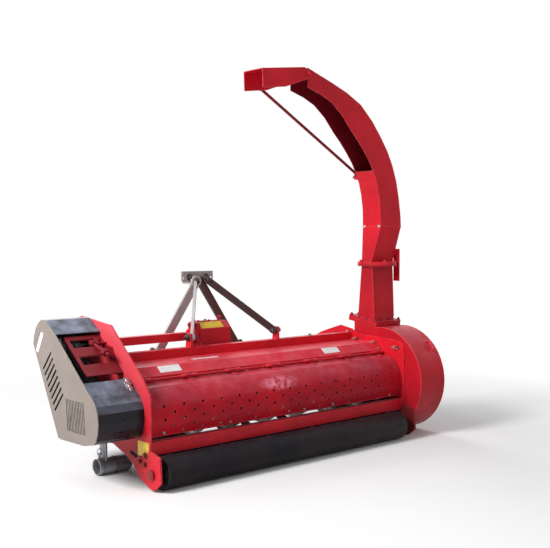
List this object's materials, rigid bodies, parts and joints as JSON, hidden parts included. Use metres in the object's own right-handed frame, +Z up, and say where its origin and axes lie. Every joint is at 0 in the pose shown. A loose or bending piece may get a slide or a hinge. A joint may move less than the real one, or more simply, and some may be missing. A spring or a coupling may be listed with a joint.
{
  "type": "flail forage harvester",
  "caption": "Tractor-mounted flail forage harvester with cross auger, perforated rear cover, side blower, swivelling curved spout with a deflector flap, and a ground roller.",
  "frame": {"origin": "on the ground plane, under the middle of the whole machine's box", "axes": "+X to the machine's right, towards the blower; +Y forward to the tractor, along the power take-off shaft; +Z up"},
  "size_m": [2.325, 1, 2.182],
  "materials": {
    "red_paint": "semi-gloss",
    "guard_paint": "satin",
    "guard_rim_paint": "gloss",
    "roller_paint": "satin",
    "bare_steel": "dull",
    "worn_steel": "worn bright",
    "mast_steel": "matt",
    "belt_rubber": "matt"
  },
  "bodies": {
    "frame": {"end_plate_left": "red_paint", "end_plate_right": "red_paint", "cross_tube_front": "red_paint", "cross_tube_rear": "red_paint", "hood": "red_paint", "trough": "worn_steel", "rear_beam": "red_paint", "gearbox_cradle": "red_paint", "gearbox": "red_paint", "shaft_tube": "red_paint", "mast_head": "mast_steel", "mast_leg_left": "mast_steel", "mast_leg_right": "mast_steel", "mast_brace_left": "mast_steel", "mast_brace_right": "mast_steel", "hitch_left": "mast_steel", "hitch_right": "mast_steel", "guard_face": "guard_paint", "guard_shell": "guard_rim_paint", "chain_case": "red_paint", "belts": "belt_rubber", "tensioner": "red_paint", "blower_housing": "red_paint", "outlet_column": "red_paint", "roller_arm_left": "red_paint", "roller_arm_right": "red_paint", "stand_left": "bare_steel", "stand_right": "bare_steel"},
    "rotor": {"flail_rotor": "bare_steel"},
    "cross_auger": {"auger_tube": "bare_steel", "auger_flight": "bare_steel", "auger_shaft": "bare_steel", "auger_pulley": "bare_steel", "impeller": "bare_steel"},
    "drive": {"drive_shaft": "bare_steel"},
    "pto": {"pto_shaft": "bare_steel"},
    "roller": {"ground_roller": "roller_paint"},
    "cover": {"rear_cover": "red_paint"},
    "spout_turn": {"spout_base": "red_paint", "spout": "red_paint", "stay_guide": "red_paint"},
    "deflector": {"flap": "red_paint"},
    "stay": {"stay_rod": "bare_steel"}
  },
  "joints": [
    {"name": "rotor_spin", "type": "hinge", "parent": "frame", "child": "rotor", "pos_m": [0.0125, 0.193, 0.325], "axis": [1, 0, 0], "continuous": true},
    {"name": "auger_spin", "type": "hinge", "parent": "frame", "child": "cross_auger", "pos_m": [0.0125, -0.182, 0.325], "axis": [1, 0, 0], "continuous": true},
    {"name": "drive_spin", "type": "hinge", "parent": "frame", "child": "drive", "pos_m": [-0.5875, 0.168, 0.648], "axis": [1, 0, 0], "continuous": true},
    {"name": "pto_spin", "type": "hinge", "parent": "frame", "child": "pto", "pos_m": [-0.0975, 0.268, 0.648], "axis": [0, 1, 0], "continuous": true},
    {"name": "roller_spin", "type": "hinge", "parent": "frame", "child": "roller", "pos_m": [0.0125, -0.397, 0.08], "axis": [1, 0, 0], "continuous": true},
    {"name": "cover_hinge", "type": "hinge", "parent": "frame", "child": "cover", "pos_m": [0.0125, -0.209, 0.496], "axis": [-1, 0, 0], "range_deg": [0, 70]},
    {"name": "spout_swivel", "type": "hinge", "parent": "frame", "child": "spout_turn", "pos_m": [1.0165, -0.072, 1.036], "axis": [0, 0, 1], "range_deg": [-120, 120]},
    {"name": "flap_hinge", "type": "hinge", "parent": "spout_turn", "child": "deflector", "pos_m": [0.3345, -0.072, 2.138], "axis": [0, -1, 0], "range_deg": [-10, 35]},
    {"name": "stay_pivot", "type": "hinge", "parent": "deflector", "child": "stay", "pos_m": [0.1085, 0.014, 2.052], "axis": [0, -1, 0], "range_deg": [-40, 40]}
  ],
  "couplings": [
    {"joint": "auger_spin", "follows": "rotor_spin", "ratio": 1},
    {"joint": "drive_spin", "follows": "rotor_spin", "ratio": 1},
    {"joint": "pto_spin", "follows": "rotor_spin", "ratio": 0.35714},
    {"joint": "stay_pivot", "follows": "flap_hinge", "ratio": -0.87}
  ]
}
